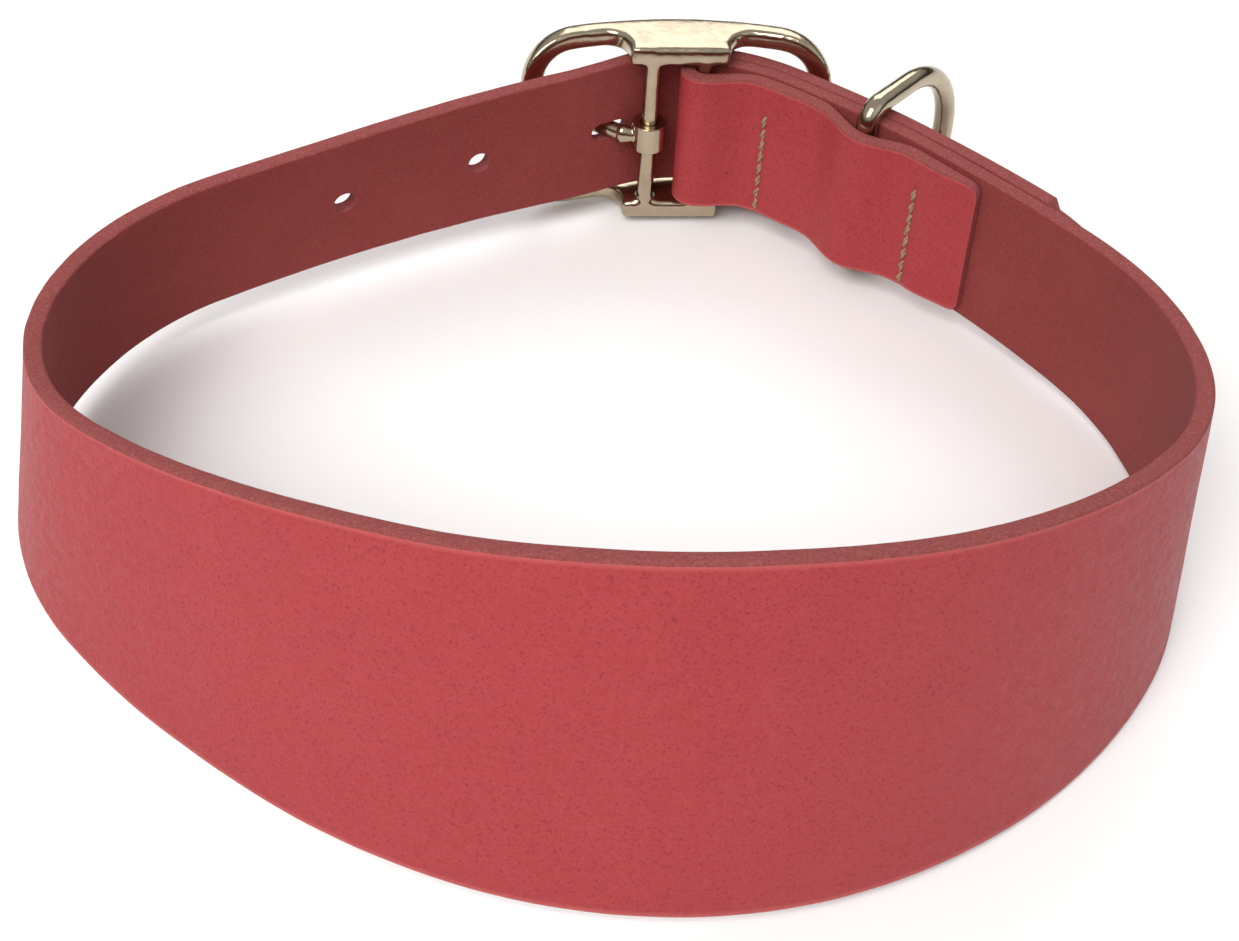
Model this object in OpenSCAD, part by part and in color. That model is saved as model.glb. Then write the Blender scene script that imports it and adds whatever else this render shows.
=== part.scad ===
// Sighthound collar: one tapered leather strip, buckled into a loop that stands on its edge.
// Millimetres. X runs across the loop, Y from its wide front to the buckle, Z up.

/* [Loop] */
// Length round the outside of the loop as it is buckled
loop_girth = 482; // [440:1:580]
// How far the foot of the wall leans outward, in degrees
wall_lean = 8.7; // [0:0.1:12]
// How much more the left side leans than the middle, and the right side less
lean_sway = 2.4; // [0:0.1:4]
// How far the wall dips at the sides below its height at front and back, halved
saddle = 2.2; // [0:0.1:4]
// How much lower than that the right side hangs
right_dip = 0.9; // [0:0.1:2]

/* [Plan] */
// Radius of the bend over the buckle's two bars
buckle_bend_r = 32; // [28:0.5:40]
// Turn of the bend over the buckle, in degrees
buckle_bend = 54; // [48:1:58]
// Radius of the easy curve to the right of the buckle
shoulder_r = 190; // [150:5:260]
// Turn of that easy curve, in degrees
shoulder_bend = 18; // [14:1:22]
// Radius of the right side
right_r = 50; // [42:0.5:60]
// Turn of the right side, in degrees
right_bend = 77; // [70:1:84]
// Radius of the front
front_r = 88; // [76:1:100]
// Turn of the front, in degrees
front_bend = 75; // [68:1:82]
// Turn of the flatter stretch at the front left, in degrees
front_left_bend = 22; // [16:1:28]
// Radius of the left side
left_r = 45; // [38:0.5:54]
// Turn of the left side, in degrees
left_bend = 103.5; // [96:0.5:110]

/* [Leather] */
// Thickness of the leather
leather_t = 2.6; // [2:0.1:3.2]
// Width of the strip at its two ends
end_w = 26; // [20:0.1:32]
// Width of the strip at its widest, in front
front_w = 57.4; // [38:0.2:70]
// Gap between layers of leather that lie on each other
layer_gap = 0.2; // [0.1:0.05:0.4]
// Length of leather turned back inside, from the buckle's chape bar
return_len = 56; // [50:0.5:62]
// Length of the free end past the buckle's tongue bar
billet_len = 97; // [80:1:116]
// Length over which the free end narrows to its point
tip_len = 20; // [14:1:26]
// How far the point springs away from the loop
tip_spring = 2.6; // [0:0.1:3.2]

/* [Punched holes] */
// Diameter of a punched hole
hole_d = 4; // [3:0.1:5]
// Distance from one hole to the next
hole_pitch = 24.6; // [18:0.1:30]
// Distance from the tongue bar back to the middle of the hole in use
hole_back = 7.2; // [6.6:0.1:8]
// Length to which the tongue has drawn that hole
drawn_hole_len = 8.4; // [7.6:0.1:10]

/* [Buckle] */
// Length of the buckle frame
frame_len = 54; // [50:1:62]
// Room above and below the strap inside the frame
frame_room = 1; // [0.8:0.1:2.5]
// Height of the frame's rims
rim_h = 3.6; // [3:0.1:5]
// Width of the bar at each end of the frame
end_bar_w = 4; // [3:0.1:5]
// Thickness of the frame
frame_t = 3.5; // [2.5:0.1:4.5]
// Radius of the frame's outward bow
frame_bow_r = 70; // [60:1:100]
// Height of the frame's outer face above the middle of its bars
frame_rise = 9; // [8.2:0.1:10]
// Radius of the frame's outer corners
frame_corner_r = 9; // [5:0.5:12]
// Length of the thick middle that holds both bars
boss_len = 17.4; // [15:0.1:19]
// Diameter of the tongue bar and of the chape bar
bar_d = 3; // [2.6:0.1:3.4]
// Distance from the tongue bar to the chape bar
bar_pitch = 9; // [8.6:0.1:10]

/* [Tongue] */
// Diameter of the tongue's prong
prong_d = 2.6; // [2.2:0.1:2.8]
// Outside diameter of the tongue's eye
eye_d = 6; // [5.4:0.1:6.2]
// Height of the tongue's eye along its bar
eye_h = 5; // [4:0.1:7]
// Radial clearance between a bar and what turns on it
turn_gap = 0.05; // [0.02:0.01:0.1]

/* [Dee ring] */
// Diameter of the dee's wire
dee_wire_d = 3.6; // [3:0.1:4.6]
// Room between the strap's edge and the dee's wire
dee_room = 1.2; // [1:0.1:2.5]
// Distance from the dee's bar to the middle of its bow's wire
dee_reach = 27.5; // [20:0.5:32]
// Distance from the chape bar to the dee's bar
dee_at = 33; // [30:0.5:36]
// Swing of the dee from square as it rests, in degrees
dee_swing = 2; // [-10:1:20]

/* [Stitching] */
// Diameter of the thread
thread_d = 0.8; // [0.6:0.1:1]
// Length of one stitch
stitch_len = 2.4; // [2:0.1:3.2]
// Number of stitches in a row
stitches = 8; // [5:1:9]
// Distance from the strap's lower edge to the end of a row
stitch_margin = 0.6; // [0.5:0.1:3]
// Distance from the chape bar to the first row
row_1_at = 13.5; // [12:0.5:17]
// Distance from the dee's bar to the second row
row_2_past_dee = 11.5; // [10.5:0.5:14]

/* [Hidden] */
$fn = 48;
SEG = 3;          // length of one facet along the strap
FOLD_STEPS = 12;  // facets round the fold
TIP_STEPS = 10;   // facets along the point
TAPER_POWER = 2.1; // how soon the strip widens towards the front
RING_OVERLAP = 0.5; // how far metal pieces of one casting run into each other

// ---- sums and easing ----
function total(v, n) = n <= 0 ? 0 : v[n - 1] + total(v, n - 1);
function clamp01(u) = min(1, max(0, u));
function ease(u) = let (c = clamp01(u)) c * c * (3 - 2 * c);
function hump(u) = abs(u) >= 1 ? 0 : pow(cos(90 * u), 2);

// ---- plan of the loop: seven stretches, clockwise from just before the buckle ----
FRONT_LEFT = 4;   // these two stretches are as long as the loop needs to close
LEFT_RUN = 6;
start_heading = 24; // direction of the strap as it reaches the buckle from the left
bend_lead = 5;      // how far before the tongue bar the buckle's bend begins
start_point = [-3.7, 73.6];

turned = buckle_bend + shoulder_bend + right_bend + front_bend + front_left_bend + left_bend;
bends = [buckle_bend, shoulder_bend, right_bend, front_bend, front_left_bend, left_bend, 360 - turned];
radii = [buckle_bend_r, shoulder_r, right_r, front_r, 0, left_r, 0];
headings = [for (i = [0 : 6]) start_heading - total(bends, i)];

// Step along an arc of the given length and turn that starts in the given direction
function arc_step(len, turn, heading) =
    let (half = turn / 2, shrink = half == 0 ? 1 : sin(half) / (half * PI / 180))
    len * shrink * [cos(heading - half), sin(heading - half)];

known_lens = [for (i = [0 : 6]) radii[i] * bends[i] * PI / 180];
known_steps = [for (i = [0 : 6]) arc_step(known_lens[i], bends[i], headings[i])];
known_x = total([for (p = known_steps) p[0]], 7);
known_y = total([for (p = known_steps) p[1]], 7);
close_a = arc_step(1, bends[FRONT_LEFT], headings[FRONT_LEFT]);
close_b = arc_step(1, bends[LEFT_RUN], headings[LEFT_RUN]);
close_det = close_a[0] * close_b[1] - close_a[1] * close_b[0];
front_left_len = (close_b[0] * known_y - close_b[1] * known_x) / close_det;
left_run_len = (close_a[1] * known_x - close_a[0] * known_y) / close_det;
drawn_lens = [for (i = [0 : 6]) i == FRONT_LEFT ? front_left_len : i == LEFT_RUN ? left_run_len : known_lens[i]];
loop_scale = loop_girth / total(drawn_lens, 7);
lens = loop_scale * drawn_lens;
steps = [for (i = [0 : 6]) arc_step(lens[i], bends[i], headings[i])];
corners = [for (i = [0 : 6]) loop_scale * start_point
    + [total([for (p = steps) p[0]], i), total([for (p = steps) p[1]], i)]];
marks = [for (i = [0 : 6]) total(lens, i)];

// Place on the strap's outer face, [x, y, heading], at distance s clockwise from the tongue bar
function loop_at(s) =
    let (u = s + bend_lead - loop_girth * floor((s + bend_lead) / loop_girth),
        i = max([for (j = [0 : 6]) if (marks[j] <= u) j]),
        turn = bends[i] * (u - marks[i]) / lens[i],
        p = corners[i] + arc_step(u - marks[i], turn, headings[i]))
    [p[0], p[1], headings[i] - turn];

// ---- wall of the loop ----
HARDWARE_MIDDLE = 30;  // the wall stands upright here, where the metal stiffens it
HARDWARE_REACH = 95;   // and leans fully this far away
WIDEST_AT = 0.463;     // place of the greatest width, as a part of the girth
LEAN_LEAST_AT = 0.2;   // place of the least lean, as a part of the girth
function from_hardware(s) =
    let (d = s - HARDWARE_MIDDLE) d - loop_girth * round(d / loop_girth);
function lean_at(s) = (wall_lean - lean_sway * cos(360 * (s / loop_girth - LEAN_LEAST_AT)))
    * (1 - hump(from_hardware(s) / HARDWARE_REACH));
function round_loop(s) = s / loop_girth - floor(s / loop_girth); // 0 at the tongue bar, to 1
function height_at(s) = saddle * cos(720 * s / loop_girth) - right_dip * hump(4 * round_loop(s) - 1);
function width_at(s) = end_w + (front_w - end_w)
    * pow((1 + cos(360 * (s / loop_girth - WIDEST_AT))) / 2, TAPER_POWER);

// Point off the strap's outer face by off along the wall's outward normal, and v up the wall;
// along moves it straight on from there
function wall_point(s, off, v, along = 0) =
    let (p = loop_at(s), h = p[2], lean = lean_at(s))
    [p[0] + along * cos(h) - sin(h) * (off * cos(lean) - v * sin(lean)),
     p[1] + along * sin(h) + cos(h) * (off * cos(lean) - v * sin(lean)),
     height_at(s) + off * sin(lean) + v * cos(lean)];

// ---- places of the hardware ----
bar_r = bar_d / 2;
bar_seat = bar_r + turn_gap;
bar_circle_r = loop_scale * buckle_bend_r - leather_t - bar_seat;
bar_angle = 2 * asin(bar_pitch / 2 / bar_circle_r);
chape_s = bar_angle * PI / 180 * loop_scale * buckle_bend_r;
return_end_s = chape_s + return_len;
row_1_s = chape_s + row_1_at;
dee_s = chape_s + dee_at;
row_2_s = dee_s + row_2_past_dee;
billet_end_s = loop_girth + billet_len;
LIFT_LEAD = 16;          // how far before the tongue bar the free end begins to rise
lift_start_s = loop_girth - LIFT_LEAD;
hole_s = loop_girth - hole_back;
dee_r = dee_wire_d / 2;
dee_bed = 0.1; // how deep the dee's bar is pressed into each layer
dee_off = -leather_t - dee_r + dee_bed;
dee_half = end_w / 2 + dee_room + dee_r; // from the middle of the bar to a leg
dee_corner_r = dee_room + dee_r;         // the bar is straight as far as the strap is wide

// Gap between the strip and the leather turned back inside it
fold_gap = 2 * bar_seat;
dee_gap = 2 * (dee_r - dee_bed);
function inner_gap(s) = layer_gap
    + (fold_gap - layer_gap) * (1 - ease((s - chape_s) / (row_1_at - 2)))
    + (dee_gap - layer_gap) * hump((s - dee_s) / (row_2_past_dee - 1.5));
// Height of the free end above the loop's outer face
function billet_lift(s) =
    (leather_t + layer_gap) * ease((s - lift_start_s) / (loop_girth + chape_s - lift_start_s))
    + tip_spring * pow(clamp01((s - billet_end_s + tip_len) / tip_len), 2);
function half_width(s) =
    let (d = billet_end_s - s)
    d >= tip_len ? width_at(s) / 2 : max(1.2, end_w / 2 * pow(1 - pow(1 - d / tip_len, 2), 0.6));

// ---- the strip, as rings of four corners from the turned-back end to the point ----
function ring(s, grain, flesh, half, along_g = 0, along_f = 0) = [
    wall_point(s, grain, half, along_g), wall_point(s, grain, -half, along_g),
    wall_point(s, flesh, -half, along_f), wall_point(s, flesh, half, along_f)];
function return_ring(s) =
    let (flesh = -leather_t - inner_gap(s)) ring(s, flesh - leather_t, flesh, end_w / 2);
function fold_ring(a) =
    let (middle = -leather_t - bar_seat, grain_r = bar_seat + leather_t, flesh_r = bar_seat)
    ring(chape_s, middle + grain_r * sin(a), middle + flesh_r * sin(a), end_w / 2,
        grain_r * cos(a), flesh_r * cos(a));
function strip_ring(s) =
    let (lift = billet_lift(s)) ring(s, lift, lift - leather_t, half_width(s));

return_n = ceil(return_len / SEG * 1.4);
main_n = ceil((billet_end_s - tip_len - chape_s) / SEG);
rings = concat(
    [for (i = [0 : return_n - 1]) return_ring(return_end_s - i * return_len / return_n)],
    [for (i = [0 : FOLD_STEPS]) fold_ring(270 - 180 * i / FOLD_STEPS)],
    [for (i = [1 : main_n]) strip_ring(chape_s + i * (billet_end_s - tip_len - chape_s) / main_n)],
    [for (i = [1 : TIP_STEPS]) strip_ring(billet_end_s - tip_len * (1 - sin(90 * i / TIP_STEPS)))]);

module strip() {
    n = len(rings);
    points = [for (r = rings) for (p = r) p];
    sides = [for (i = [0 : n - 2]) for (k = [0 : 3]) for (half = [0, 1])
        let (a = 4 * i + k, b = 4 * i + (k + 1) % 4, c = b + 4, d = a + 4)
        half == 0 ? [a, b, c] : [a, c, d]];
    ends = [[0, 3, 2], [0, 2, 1], [4 * n - 4, 4 * n - 3, 4 * n - 2], [4 * n - 4, 4 * n - 2, 4 * n - 1]];
    polyhedron(points, concat(sides, ends), convexity = 10);
}

// ---- placing ----
// Children stand on the wall at s: x along the strap, y outward, z up the wall
module at_wall(s, off) {
    p = loop_at(s);
    translate([p[0], p[1], height_at(s)]) rotate([0, 0, p[2]]) rotate([lean_at(s), 0, 0])
        translate([0, off, 0]) children();
}
// Children stand midway between the buckle's bars, with the bars along z
buckle_s = chape_s / 2;
buckle_drop = loop_scale * buckle_bend_r - bar_circle_r * cos(bar_angle / 2);
module at_buckle() { at_wall(buckle_s, -buckle_drop) children(); }
module at_tongue_bar() { at_buckle() translate([-bar_pitch / 2, 0, 0]) children(); }
module at_chape_bar() { at_buckle() translate([bar_pitch / 2, 0, 0]) children(); }
module at_dee() { at_wall(dee_s, dee_off) rotate([0, 0, -dee_swing]) children(); }

// The loop stands on the lowest point of its front edge and on the foot of the buckle or of the dee
frame_half_h = end_w / 2 + frame_room + rim_h;
buckle_foot = wall_point(buckle_s, frame_rise - buckle_drop, -frame_half_h);
dee_foot = wall_point(dee_s, dee_off + dee_reach - dee_half, -dee_half - dee_r);
FEET_TRIED = 60; // points tried along the lower edge, away from the buckle
front_feet = [for (i = [0 : FEET_TRIED])
    let (s = loop_girth * (0.2 + 0.6 * i / FEET_TRIED)) wall_point(s, -leather_t, -width_at(s) / 2)];
stand_tilt = max([for (foot = [buckle_foot, dee_foot])
    min([for (p = front_feet) atan2(p[2] - foot[2], foot[1] - p[1])])]);
function stood_z(p) = p[1] * sin(stand_tilt) + p[2] * cos(stand_tilt);
stand_h = -min([for (p = concat([buckle_foot, dee_foot], front_feet)) stood_z(p)]);
module stand() { translate([0, 0, stand_h]) rotate([stand_tilt, 0, 0]) children(); }

// ---- strap ----
PUNCH_PAST = 1.5; // how far a punch goes past the leather where nothing else lies
module punch(s, length, past_inside) {
    straight = length - hole_d;
    depth = past_inside + leather_t + PUNCH_PAST;
    at_wall(s, billet_lift(s) - leather_t - past_inside) rotate([-90, 0, 0]) {
        for (side = [-1, 1])
            translate([side * straight / 2, 0, 0]) cylinder(d = hole_d, h = depth);
        if (straight > 0)
            translate([-straight / 2, -hole_d / 2, 0]) cube([straight, hole_d, depth]);
    }
}
module strap() {
    color([0.75, 0.29, 0.31]) stand() difference() {
        strip();
        at_chape_bar() cylinder(r = bar_seat, h = 2 * end_w, center = true);
        at_wall(dee_s, dee_off) cylinder(r = dee_r + turn_gap, h = 2 * end_w, center = true);
        for (k = [-2, -1])
            punch(hole_s + k * hole_pitch, hole_d, PUNCH_PAST);
        punch(hole_s, drawn_hole_len, PUNCH_PAST);
        for (k = [1, 2])
            punch(hole_s + k * hole_pitch, hole_d, layer_gap / 2);
    }
}

// ---- buckle frame ----
window_half = end_w / 2 + frame_room;
window_len = frame_len - 2 * end_bar_w;
BOSS_FILLET_R = 4;
FILLET_SET = 0.15; // how far the fillet's top runs into the rim
boss_in = bar_r + 0.2; // how far the boss reaches inward past the middle of the bars
function bow_y(x, r) = frame_rise - frame_bow_r + sqrt(r * r - x * x);

module rounded(w, h, r) {
    square([w - 2 * r, h], center = true);
    square([w, h - 2 * r], center = true);
    for (x = [-1, 1]) for (y = [-1, 1])
        translate([x * (w / 2 - r), y * (h / 2 - r)]) circle(r);
}
module rim_plan() {
    inner_r = frame_bow_r - frame_t;
    intersection() {
        translate([0, frame_rise - frame_bow_r]) difference() {
            circle(frame_bow_r, $fn = 240);
            circle(inner_r, $fn = 240);
        }
        translate([-frame_len, -frame_rise]) square([2 * frame_len, 3 * frame_rise]);
    }
    boss_top = bow_y(boss_len / 2, frame_bow_r) - frame_t / 2;
    translate([-boss_len / 2, -boss_in]) square([boss_len, boss_top + boss_in]);
    fillet_y = bow_y(boss_len / 2 + BOSS_FILLET_R, inner_r) - BOSS_FILLET_R + FILLET_SET;
    for (side = [-1, 1]) difference() {
        translate([side * (boss_len / 2 + BOSS_FILLET_R / 2), fillet_y + BOSS_FILLET_R / 2 + RING_OVERLAP / 2])
            square([BOSS_FILLET_R, BOSS_FILLET_R + RING_OVERLAP], center = true);
        translate([side * (boss_len / 2 + BOSS_FILLET_R), fillet_y]) circle(BOSS_FILLET_R);
    }
}
module buckle_frame() {
    color([0.66, 0.6, 0.5]) stand() at_buckle() {
        difference() {
            intersection() {
                linear_extrude(3 * frame_half_h, center = true) rim_plan();
                rotate([90, 0, 0]) linear_extrude(4 * frame_rise, center = true)
                    rounded(frame_len, 2 * frame_half_h, frame_corner_r);
            }
            rotate([90, 0, 0]) linear_extrude(6 * frame_rise, center = true)
                rounded(window_len, 2 * window_half, frame_corner_r - end_bar_w);
        }
        for (side = [-1, 1]) translate([side * bar_pitch / 2, 0, 0])
            cylinder(d = bar_d, h = 2 * (window_half + RING_OVERLAP), center = true);
    }
}

// ---- buckle tongue ----
EYE_SET = 0.3;   // the tongue has slid this far down its bar
KNUCKLE = 0.1;   // the rod's rounded bends are this much fuller than the rod
prong_r = prong_d / 2;
tongue_rest_x = -(frame_len - end_bar_w) / 2 + bar_pitch / 2; // over the middle of the end bar
tongue_rest_y = bow_y(window_len / 2, frame_bow_r) + prong_r + KNUCKLE + turn_gap;
prong_path = [[-1.9, -0.3], [-4.6, -0.1], [-10.6, 4.1], [-window_len / 2 + bar_pitch / 2, tongue_rest_y],
    [tongue_rest_x - end_bar_w / 4, tongue_rest_y]];

module rod(a, b, r) {
    d = b - a;
    translate([a[0], a[1], 0]) rotate([0, 0, atan2(d[1], d[0])]) rotate([0, 90, 0])
        cylinder(r = r, h = norm(d));
}
module buckle_tongue() {
    color([0.66, 0.6, 0.5]) stand() at_tongue_bar() translate([0, 0, -EYE_SET]) difference() {
        union() {
            cylinder(d = eye_d, h = eye_h, center = true);
            for (i = [0 : len(prong_path) - 2]) {
                rod(prong_path[i], prong_path[i + 1], prong_r);
                translate([prong_path[i + 1][0], prong_path[i + 1][1], 0]) rotate([90, 0, 0])
                    sphere(prong_r + KNUCKLE);
            }
        }
        cylinder(r = bar_seat, h = 2 * eye_h, center = true);
    }
}

// ---- dee ring ----
module dee_corner() {
    rotate_extrude(angle = 90) translate([dee_corner_r, 0]) circle(dee_r);
}
module dee_ring() {
    leg_end = dee_reach - dee_half;
    color([0.66, 0.6, 0.5]) stand() at_dee() {
        cylinder(r = dee_r, h = 2 * (dee_half - dee_corner_r), center = true);
        for (side = [0, 1]) mirror([0, 0, side]) {
            translate([0, dee_corner_r, dee_half - dee_corner_r]) rotate([0, 90, 0]) rotate([0, 0, 180])
                dee_corner();
            translate([0, dee_corner_r, dee_half]) rotate([-90, 0, 0])
                cylinder(r = dee_r, h = max(0.01, leg_end - dee_corner_r));
        }
        translate([0, leg_end, 0]) rotate([0, 90, 0])
            rotate_extrude(angle = 180) translate([dee_half, 0]) circle(dee_r);
    }
}

// ---- stitching: each row is a needle thread inside and a bobbin thread outside ----
thread_r = thread_d / 2;
row_foot = -end_w / 2 + stitch_margin;
INSIDE_SINK = 0.15;  // how far the needle thread's middle lies below the grain
OUTSIDE_SINK = 0.3;  // the bobbin thread lies deeper, so that the free end can pass over it
LOCK_GAP = 0.05;     // between the two threads where they lock inside the leather
module stitch_row(s, face, lock) {
    side = sign(lock - face);
    at_wall(s, 0) for (k = [0 : stitches]) translate([0, face, row_foot + k * stitch_len]) {
        sphere(thread_r, $fn = 16);
        rotate([-90 * side, 0, 0]) cylinder(r = thread_r, h = abs(lock - face), $fn = 16);
        if (k < stitches) cylinder(r = thread_r, h = stitch_len, $fn = 16);
    }
}
function row_middle(s) = -leather_t - inner_gap(s) / 2;
module needle_thread(s) {
    color([0.62, 0.52, 0.36]) stand()
        stitch_row(s, -2 * leather_t - inner_gap(s) + INSIDE_SINK, row_middle(s) - LOCK_GAP / 2);
}
module bobbin_thread(s) {
    color([0.62, 0.52, 0.36]) stand() stitch_row(s, -OUTSIDE_SINK, row_middle(s) + LOCK_GAP / 2);
}
module first_row_needle_thread() { needle_thread(row_1_s); }
module first_row_bobbin_thread() { bobbin_thread(row_1_s); }
module second_row_needle_thread() { needle_thread(row_2_s); }
module second_row_bobbin_thread() { bobbin_thread(row_2_s); }

strap();
buckle_frame();
buckle_tongue();
dee_ring();
first_row_needle_thread();
first_row_bobbin_thread();
second_row_needle_thread();
second_row_bobbin_thread();
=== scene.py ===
"""Looks of a buckled leather sighthound collar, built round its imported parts.

Sizes are in millimetres and degrees until a mesh is made; Blender objects are in metres.
"""

import logging
import math
from dataclasses import dataclass, field
from enum import Enum
from typing import Callable, List, Sequence, Tuple

import bmesh
import bpy
from mathutils import Matrix, Vector, noise


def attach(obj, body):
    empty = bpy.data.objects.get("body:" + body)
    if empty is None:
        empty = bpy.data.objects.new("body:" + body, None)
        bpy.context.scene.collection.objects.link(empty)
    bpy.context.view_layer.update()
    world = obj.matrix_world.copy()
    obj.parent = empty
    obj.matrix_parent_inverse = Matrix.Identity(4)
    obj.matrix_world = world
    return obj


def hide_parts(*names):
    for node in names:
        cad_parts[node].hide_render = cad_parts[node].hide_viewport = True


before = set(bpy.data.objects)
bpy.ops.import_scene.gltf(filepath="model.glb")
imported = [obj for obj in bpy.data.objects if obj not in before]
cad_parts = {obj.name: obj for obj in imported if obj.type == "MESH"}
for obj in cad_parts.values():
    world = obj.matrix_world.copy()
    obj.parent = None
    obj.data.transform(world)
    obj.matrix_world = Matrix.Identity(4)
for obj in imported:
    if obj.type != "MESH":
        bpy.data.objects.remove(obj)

LOG = logging.getLogger("collar")
MM = 0.001
Color = Tuple[float, float, float]


class Body(Enum):
    """Moving bodies of the collar."""

    STRAP = "collar_strap"
    FRAME = "frame"
    TONGUE = "tongue"
    DEE = "dee"


class Slot(Enum):
    """Finishes named in the part's record."""

    LEATHER = "leather"
    BUCKLE = "buckle_metal"
    RING = "ring_metal"
    THREAD = "thread"


class Face(Enum):
    """Faces of a strip of leather, in the order of its materials."""

    GRAIN = 0
    EDGE = 1
    FLESH = 2


def ease(u: float) -> float:
    """Returns a smooth step from 0 to 1 as u goes from 0 to 1."""
    c = min(1.0, max(0.0, u))
    return c * c * (3 - 2 * c)


def hump(u: float) -> float:
    """Returns a rounded hump, 1 at u = 0 and 0 from u = 1 outward."""
    return 0.0 if abs(u) >= 1 else math.cos(math.pi / 2 * u) ** 2


def bell(distance: float, reach: float) -> float:
    """Returns a bell of height 1 that fades over reach."""
    return math.exp(-((distance / reach) ** 2))


# ---- the loop ----
@dataclass
class Loop:
    """Plan and wall of the buckled loop, with the places of all that is on it."""

    girth: float = 482.0
    wall_lean: float = 8.7
    lean_sway: float = 2.4
    saddle: float = 2.2
    right_dip: float = 0.9
    start_heading: float = 24.0
    bend_lead: float = 5.0
    start_point: Tuple[float, float] = (-3.7, 73.6)
    bend_radii: Tuple[float, ...] = (32, 190, 50, 88, 0, 45, 0)
    bend_turns: Tuple[float, ...] = (54, 18, 77, 75, 22, 103.5, 10.5)
    stretched: Tuple[int, int] = (4, 6)
    leather: float = 2.6
    end_width: float = 26.0
    front_width: float = 57.4
    taper_power: float = 2.1
    widest_at: float = 0.463
    layer_gap: float = 0.2
    return_length: float = 56.0
    billet_length: float = 97.0
    tip_length: float = 20.0
    tip_spring: float = 2.6
    lift_lead: float = 16.0
    bar_seat: float = 1.55
    bar_pitch: float = 9.0
    row_1_at: float = 13.5
    dee_at: float = 33.0
    row_2_past_dee: float = 11.5
    dee_wire: float = 3.6
    dee_bed: float = 0.1
    tilt: float = -4.8982
    stand_height: float = 22.8784
    lengths: List[float] = field(init=False)
    headings: List[float] = field(init=False)
    corners: List[Tuple[float, float]] = field(init=False)
    marks: List[float] = field(init=False)

    def __post_init__(self) -> None:
        """Closes the loop by stretching its two free stretches."""
        n = len(self.bend_turns)
        self.headings = [self.start_heading - sum(self.bend_turns[:i]) for i in range(n)]
        lengths = [r * math.radians(a) for r, a in zip(self.bend_radii, self.bend_turns)]
        known = [self.arc_step(lengths[i], self.bend_turns[i], self.headings[i]) for i in range(n)]
        kx, ky = sum(p[0] for p in known), sum(p[1] for p in known)
        first, last = self.stretched
        ax, ay = self.arc_step(1.0, self.bend_turns[first], self.headings[first])
        bx, by = self.arc_step(1.0, self.bend_turns[last], self.headings[last])
        det = ax * by - ay * bx
        lengths[first] = (bx * ky - by * kx) / det
        lengths[last] = (ay * kx - ax * ky) / det
        self.scale = self.girth / sum(lengths)
        self.lengths = [self.scale * v for v in lengths]
        x, y = (self.scale * v for v in self.start_point)
        self.corners, self.marks, run = [], [], 0.0
        for i in range(n):
            self.corners.append((x, y))
            self.marks.append(run)
            dx, dy = self.arc_step(self.lengths[i], self.bend_turns[i], self.headings[i])
            x, y, run = x + dx, y + dy, run + self.lengths[i]

    @staticmethod
    def arc_step(length: float, turn: float, heading: float) -> Tuple[float, float]:
        """Steps along an arc.

        Args:
            length: Length of the arc.
            turn: Clockwise turn over it.
            heading: Direction at its start.

        Returns:
            The step as x and y.
        """
        half = math.radians(turn / 2)
        shrink = 1.0 if half == 0 else math.sin(half) / half
        middle = math.radians(heading) - half
        return length * shrink * math.cos(middle), length * shrink * math.sin(middle)

    @property
    def bar_circle(self) -> float:
        """Radius of the circle on which both bars lie."""
        return self.scale * self.bend_radii[0] - self.leather - self.bar_seat

    @property
    def chape_s(self) -> float:
        """Place of the chape bar along the strap."""
        angle = 2 * math.asin(self.bar_pitch / 2 / self.bar_circle)
        return angle * self.scale * self.bend_radii[0]

    @property
    def buckle_drop(self) -> float:
        """Depth of the middle between the bars below the strap's outer face."""
        half = math.asin(self.bar_pitch / 2 / self.bar_circle)
        return self.scale * self.bend_radii[0] - self.bar_circle * math.cos(half)

    @property
    def row_stations(self) -> Tuple[float, float]:
        """Places of the two stitch rows along the strap."""
        return self.chape_s + self.row_1_at, self.dee_s + self.row_2_past_dee

    @property
    def dee_s(self) -> float:
        """Place of the dee's bar along the strap."""
        return self.chape_s + self.dee_at

    @property
    def dee_offset(self) -> float:
        """Offset of the dee's bar from the strap's outer face."""
        return -self.leather - self.dee_wire / 2 + self.dee_bed

    @property
    def tip_s(self) -> float:
        """Place of the free end's point along the strap."""
        return self.girth + self.billet_length

    def place(self, s: float) -> Tuple[float, float, float]:
        """Returns x, y and heading of the strap's outer face at s."""
        u = (s + self.bend_lead) % self.girth
        i = max(j for j in range(len(self.marks)) if self.marks[j] <= u + 1e-9)
        turn = self.bend_turns[i] * (u - self.marks[i]) / self.lengths[i]
        dx, dy = self.arc_step(u - self.marks[i], turn, self.headings[i])
        return self.corners[i][0] + dx, self.corners[i][1] + dy, self.headings[i] - turn

    def lean(self, s: float) -> float:
        """Returns how far the wall leans at s."""
        d = s - 30
        d -= self.girth * round(d / self.girth)
        swing = math.cos(2 * math.pi * (s / self.girth - 0.2))
        return (self.wall_lean - self.lean_sway * swing) * (1 - hump(d / 95))

    def height(self, s: float) -> float:
        """Returns the height of the wall's middle at s, before it is stood up."""
        around = (s / self.girth) % 1.0
        return self.saddle * math.cos(4 * math.pi * around) - self.right_dip * hump(4 * around - 1)

    def width(self, s: float) -> float:
        """Returns the strip's width at s."""
        swell = (1 + math.cos(2 * math.pi * (s / self.girth - self.widest_at))) / 2
        return self.end_width + (self.front_width - self.end_width) * swell**self.taper_power

    def half_width(self, s: float) -> float:
        """Returns half the strip's width at s, drawn in towards its point."""
        d = max(0.0, self.tip_s - s)
        if d >= self.tip_length:
            return self.width(s) / 2
        share = 1 - (1 - d / self.tip_length) ** 2
        return max(0.9, self.end_width / 2 * share**0.6)

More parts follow.
